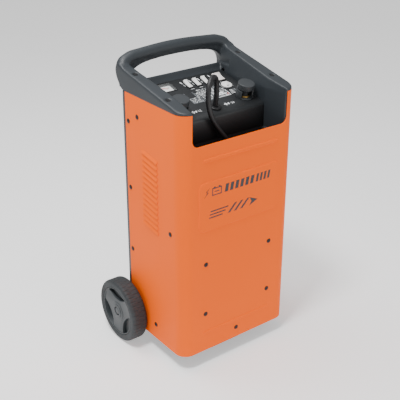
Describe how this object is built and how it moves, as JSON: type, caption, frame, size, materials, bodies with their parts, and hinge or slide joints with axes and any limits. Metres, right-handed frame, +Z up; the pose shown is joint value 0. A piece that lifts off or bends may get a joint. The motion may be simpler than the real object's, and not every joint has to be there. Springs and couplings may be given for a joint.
{
  "type": "car battery charger",
  "caption": "Upright wheeled battery charger and starter: sheet steel cabinet, sloping control panel between two rails, push grip, front lead bin and a stowed clamp lead.",
  "frame": {"origin": "on the floor, under the middle of the footprint of cabinet and wheels", "axes": "+X across the machine to the right as seen from the front, -Y the front, +Z up"},
  "size_m": [0.4124, 0.2988, 0.7266],
  "materials": {
    "orange_enamel": "smooth semi-gloss orange enamel",
    "black_enamel": "satin black enamel",
    "moulding": "fine-grained charcoal plastic",
    "panel": "black plastic with printed legends",
    "bin": "plain black plastic",
    "black_screw": "blackened screws",
    "bright_screw": "zinc-plated screws",
    "meter_case": "black plastic",
    "dial_white": "white printed card",
    "needle": "red",
    "lens": "clear window",
    "switch_case": "black plastic",
    "rocker_white": "white plastic",
    "rocker_red": "red plastic",
    "timer_white": "white plastic",
    "terminal_plastic": "black phenolic plastic",
    "terminal_brass": "plated brass",
    "tyre": "charcoal rubber",
    "rim": "charcoal plastic",
    "steel": "plated steel",
    "lead": "black rubber sheath",
    "tie": "black strap",
    "clamp_steel": "plated pressed steel",
    "clamp_grip": "black soft sleeves",
    "core": "varnished laminations",
    "copper": "enamelled copper wire",
    "aluminium": "extruded",
    "fan_plastic": "black plastic",
    "gland": "black nylon",
    "block": "cream plastic"
  },
  "bodies": {
    "charger": {"front_cover": "orange_enamel", "rear_panel": "black_enamel", "base_plate": "black_enamel", "front_foot": "black_enamel", "axle_brackets": "black_enamel", "handle_frame": "moulding", "control_panel": "panel", "storage_bin": "bin", "cover_screws": "black_screw", "handle_screws": "black_screw", "fan_screws": "bright_screw", "ammeter_housing": "meter_case", "ammeter_dial": "dial_white", "ammeter_lens": "lens", "selector_bodies": "switch_case", "power_switch_body": "switch_case", "timer_body": "switch_case", "terminal_post_left": "terminal_plastic", "terminal_post_right": "terminal_plastic", "terminal_stud_left": "terminal_brass", "terminal_stud_right": "terminal_brass", "axle": "steel", "axle_caps": "rim", "wheel_washers": "steel", "mains_gland": "gland", "lead_grommet": "lead", "negative_lead": "lead", "lead_coil": "lead", "lead_tail": "lead", "coil_tie": "tie", "clamp_jaw_fixed": "clamp_steel", "clamp_grip_fixed": "clamp_grip", "clamp_pin": "steel", "clamp_spring": "steel", "transformer_core": "core", "primary_winding": "copper", "secondary_winding": "copper", "transformer_rails": "black_enamel", "rectifier_heatsink": "aluminium", "rectifier_diodes": "steel", "bus_bars": "aluminium", "fan_frame": "fan_plastic", "mains_terminal_block": "block"},
    "left_wheel": {"wheel_rim_left": "rim", "tyre_left": "tyre"},
    "right_wheel": {"wheel_rim_right": "rim", "tyre_right": "tyre"},
    "needle": {"ammeter_needle": "needle"},
    "selector_1": {"selector_rocker_1": "rocker_white"},
    "selector_2": {"selector_rocker_2": "rocker_white"},
    "selector_3": {"selector_rocker_3": "rocker_white"},
    "power": {"power_rocker": "rocker_red"},
    "timer": {"timer_knob": "timer_white"},
    "left_washer": {"terminal_washer_left": "terminal_brass"},
    "right_washer": {"terminal_washer_right": "terminal_brass"},
    "left_knob": {"terminal_knob_left": "terminal_plastic"},
    "right_knob": {"terminal_knob_right": "terminal_plastic"},
    "fan": {"fan_rotor": "fan_plastic"},
    "clamp_upper": {"clamp_jaw_moving": "clamp_steel", "clamp_grip_moving": "clamp_grip"}
  },
  "joints": [
    {"name": "left_wheel_spin", "type": "hinge", "parent": "charger", "child": "left_wheel", "pos_m": [0, 0.0694, 0.08], "axis": [1, 0, 0], "continuous": true},
    {"name": "right_wheel_spin", "type": "hinge", "parent": "charger", "child": "right_wheel", "pos_m": [0, 0.0694, 0.08], "axis": [1, 0, 0], "continuous": true},
    {"name": "needle_swing", "type": "hinge", "parent": "charger", "child": "needle", "pos_m": [-0.066, 0.04003, 0.63152], "axis": [0, -0.2419, 0.9703], "range_deg": [-90, 0], "stiffness_Nm_per_rad": 0.0001, "springref_deg": 17.19},
    {"name": "selector_1_rock", "type": "hinge", "parent": "charger", "child": "selector_1", "pos_m": [-0.0025, 0.04621, 0.63152], "axis": [1, 0, 0], "range_deg": [-18, 0]},
    {"name": "selector_2_rock", "type": "hinge", "parent": "charger", "child": "selector_2", "pos_m": [0.0223, 0.04621, 0.63152], "axis": [1, 0, 0], "range_deg": [-18, 0]},
    {"name": "selector_3_rock", "type": "hinge", "parent": "charger", "child": "selector_3", "pos_m": [0.0471, 0.04621, 0.63152], "axis": [1, 0, 0], "range_deg": [-18, 0]},
    {"name": "power_rock", "type": "hinge", "parent": "charger", "child": "power", "pos_m": [0.086, 0.04621, 0.63152], "axis": [1, 0, 0], "range_deg": [-18, 0]},
    {"name": "timer_turn", "type": "hinge", "parent": "charger", "child": "timer", "pos_m": [0.084, 0.01092, 0.62427], "axis": [0, -0.2419, 0.9703], "range_deg": [-300, 0]},
    {"name": "left_washer_lift", "type": "slide", "parent": "charger", "child": "left_washer", "axis": [0, -0.2419, 0.9703], "range_m": [0, 0.0025]},
    {"name": "left_knob_turn", "type": "hinge", "parent": "left_washer", "child": "left_knob", "pos_m": [-0.092, -0.04342, 0.61072], "axis": [0, -0.2419, 0.9703], "range_deg": [0, 720]},
    {"name": "right_washer_lift", "type": "slide", "parent": "charger", "child": "right_washer", "axis": [0, -0.2419, 0.9703], "range_m": [0, 0.0025]},
    {"name": "right_knob_turn", "type": "hinge", "parent": "right_washer", "child": "right_knob", "pos_m": [0.092, -0.04342, 0.61072], "axis": [0, -0.2419, 0.9703], "range_deg": [0, 720]},
    {"name": "fan_spin", "type": "hinge", "parent": "charger", "child": "fan", "pos_m": [0.04, 0.06, 0.29], "axis": [0, 1, 0], "continuous": true},
    {"name": "clamp_open", "type": "hinge", "parent": "charger", "child": "clamp_upper", "pos_m": [0.035, -0.1132, 0.376], "axis": [0, -1, 0], "range_deg": [0, 18], "stiffness_Nm_per_rad": 1.2, "springref_deg": -28.65}
  ],
  "couplings": [
    {"joint": "left_knob_turn", "follows": "left_washer_lift", "rad_per_m": 5026.5},
    {"joint": "right_knob_turn", "follows": "right_washer_lift", "rad_per_m": 5026.5}
  ]
}
